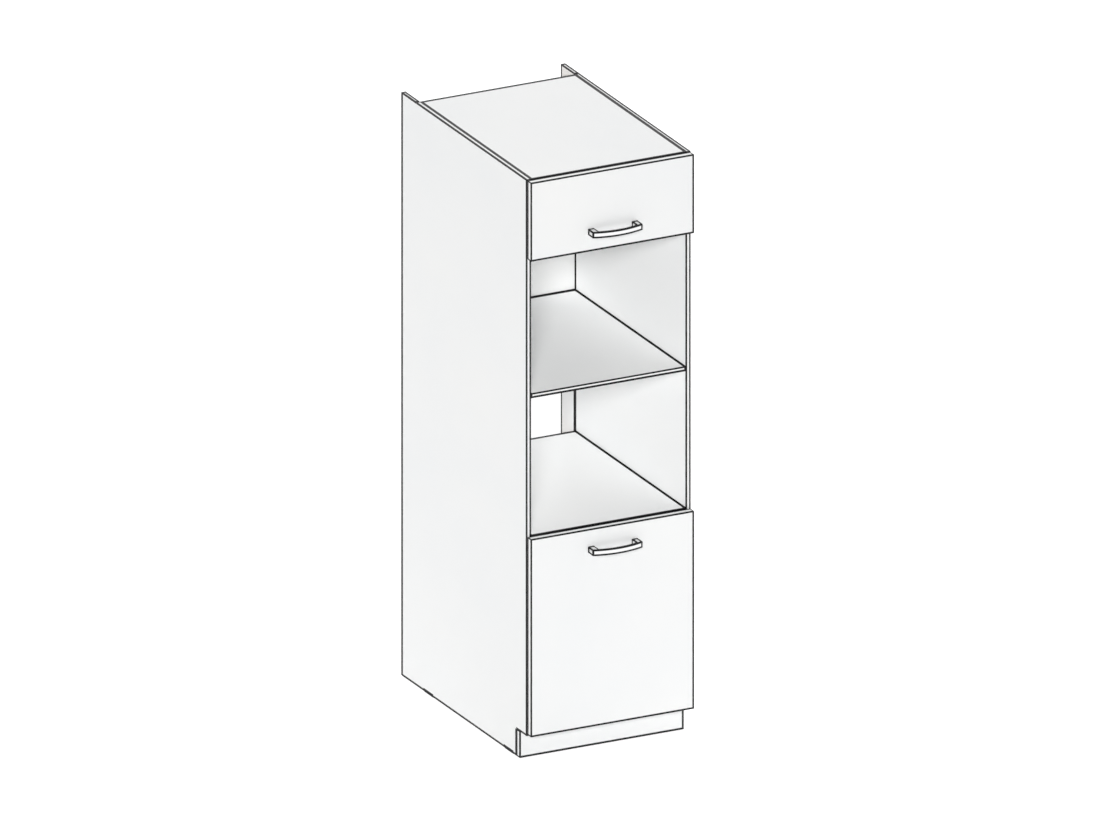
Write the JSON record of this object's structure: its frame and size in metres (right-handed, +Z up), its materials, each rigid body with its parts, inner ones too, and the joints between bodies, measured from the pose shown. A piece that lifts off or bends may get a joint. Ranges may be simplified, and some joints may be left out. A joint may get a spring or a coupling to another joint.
{
  "type": "tall oven housing unit",
  "caption": "Tall kitchen cabinet with open appliance niches, a lift-up flap above, a hinged door below, bow handles, a recessed plinth and a services void behind the backs.",
  "frame": {"origin": "middle of the footprint, handles included, on the floor", "axes": "+Z up, -Y towards the front with the door and the flap, +X to the right for someone facing the front"},
  "size_m": [0.6, 0.6026, 2.103],
  "materials": {
    "board": "satin white coated chipboard with edge banding",
    "back_board": "white coated hardboard",
    "satin_metal": "satin nickel",
    "zinc_steel": "zinc plated steel",
    "dark_steel": "darker plated steel",
    "beech": "plain beech",
    "plastic": "matte",
    "dark_plastic": "matte",
    "black_tube": "satin black lacquer"
  },
  "bodies": {
    "carcass": {"side_left": "board", "side_right": "board", "top_panel": "board", "flap_floor": "board", "middle_shelf": "board", "niche_floor": "board", "bottom_panel": "board", "plinth_board": "board", "upper_back": "back_board", "lower_back": "back_board", "lower_shelf": "board", "shelf_pins": "zinc_steel", "cams": "zinc_steel", "cam_bolts": "zinc_steel", "dowels": "beech", "glides": "dark_plastic", "plinth_blocks": "plastic", "plinth_screws": "zinc_steel", "wall_brackets": "zinc_steel", "wall_bracket_screws": "zinc_steel", "door_hinge_plates": "zinc_steel", "door_hinge_arms": "satin_metal", "door_hinge_pins": "dark_steel", "door_plate_screws": "dark_steel", "flap_hinge_plates": "zinc_steel", "flap_hinge_arms": "satin_metal", "flap_hinge_pins": "dark_steel", "flap_plate_screws": "dark_steel", "strut_side_brackets": "zinc_steel", "strut_side_screws": "dark_steel"},
    "door": {"lower_door": "board", "door_handle": "satin_metal", "door_handle_screws": "zinc_steel", "door_hinge_cups": "satin_metal", "door_cup_pins": "dark_steel", "door_cup_screws": "dark_steel", "door_bumpers": "plastic"},
    "flap": {"upper_flap": "board", "flap_handle": "satin_metal", "flap_handle_screws": "zinc_steel", "flap_hinge_cups": "satin_metal", "flap_cup_pins": "dark_steel", "flap_cup_screws": "dark_steel", "flap_bumpers": "plastic", "strut_flap_brackets": "zinc_steel", "strut_flap_screws": "dark_steel"},
    "door_outer_links": {"door_outer_links": "zinc_steel"},
    "door_inner_links": {"door_inner_links": "zinc_steel"},
    "flap_outer_links": {"flap_outer_links": "zinc_steel"},
    "flap_inner_links": {"flap_inner_links": "zinc_steel"},
    "strut_tube_left": {"strut_tube_left": "black_tube"},
    "strut_tube_right": {"strut_tube_right": "black_tube"},
    "strut_rod_left": {"strut_rod_left": "satin_metal"},
    "strut_rod_right": {"strut_rod_right": "satin_metal"}
  },
  "joints": [
    {"name": "door_outer_link_pivot", "type": "hinge", "parent": "carcass", "child": "door_outer_links", "pos_m": [0.266, -0.24075, 0.45], "axis": [0, 0, 1], "range_deg": [-32, 0]},
    {"name": "door_swing", "type": "hinge", "parent": "door_outer_links", "child": "door", "pos_m": [0.2883, -0.25615, 0.45], "axis": [0, 0, 1], "range_deg": [0, 128]},
    {"name": "door_inner_link_pivot", "type": "hinge", "parent": "carcass", "child": "door_inner_links", "pos_m": [0.266, -0.25925, 0.45], "axis": [0, 0, 1], "range_deg": [-44.8, 0]},
    {"name": "flap_outer_link_pivot", "type": "hinge", "parent": "carcass", "child": "flap_outer_links", "pos_m": [0, -0.24075, 2.069], "axis": [-1, 0, 0], "range_deg": [-32, 0]},
    {"name": "flap_lift", "type": "hinge", "parent": "flap_outer_links", "child": "flap", "pos_m": [0, -0.25615, 2.0913], "axis": [-1, 0, 0], "range_deg": [0, 128]},
    {"name": "flap_inner_link_pivot", "type": "hinge", "parent": "carcass", "child": "flap_inner_links", "pos_m": [0, -0.25925, 2.069], "axis": [-1, 0, 0], "range_deg": [-44.8, 0]},
    {"name": "strut_left_tilt", "type": "hinge", "parent": "carcass", "child": "strut_tube_left", "pos_m": [-0.272, -0.06575, 1.993], "axis": [-1, 0, 0], "range_deg": [-4.02, 0]},
    {"name": "strut_left_slide", "type": "slide", "parent": "strut_tube_left", "child": "strut_rod_left", "axis": [0, -0.9347, 0.3553], "range_m": [0, 0.06256]},
    {"name": "strut_right_tilt", "type": "hinge", "parent": "carcass", "child": "strut_tube_right", "pos_m": [0.272, -0.06575, 1.993], "axis": [-1, 0, 0], "range_deg": [-4.02, 0]},
    {"name": "strut_right_slide", "type": "slide", "parent": "strut_tube_right", "child": "strut_rod_right", "axis": [0, -0.9347, 0.3553], "range_m": [0, 0.06256]}
  ],
  "couplings": [
    {"joint": "door_outer_link_pivot", "follows": "door_swing", "ratio": -0.25},
    {"joint": "door_inner_link_pivot", "follows": "door_swing", "ratio": -0.35},
    {"joint": "flap_outer_link_pivot", "follows": "flap_lift", "ratio": -0.25},
    {"joint": "flap_inner_link_pivot", "follows": "flap_lift", "ratio": -0.35},
    {"joint": "strut_left_tilt", "follows": "flap_lift", "ratio": -0.031383},
    {"joint": "strut_left_slide", "follows": "flap_lift", "m_per_rad": 0.028002},
    {"joint": "strut_right_tilt", "follows": "flap_lift", "ratio": -0.031383},
    {"joint": "strut_right_slide", "follows": "flap_lift", "m_per_rad": 0.028002}
  ]
}
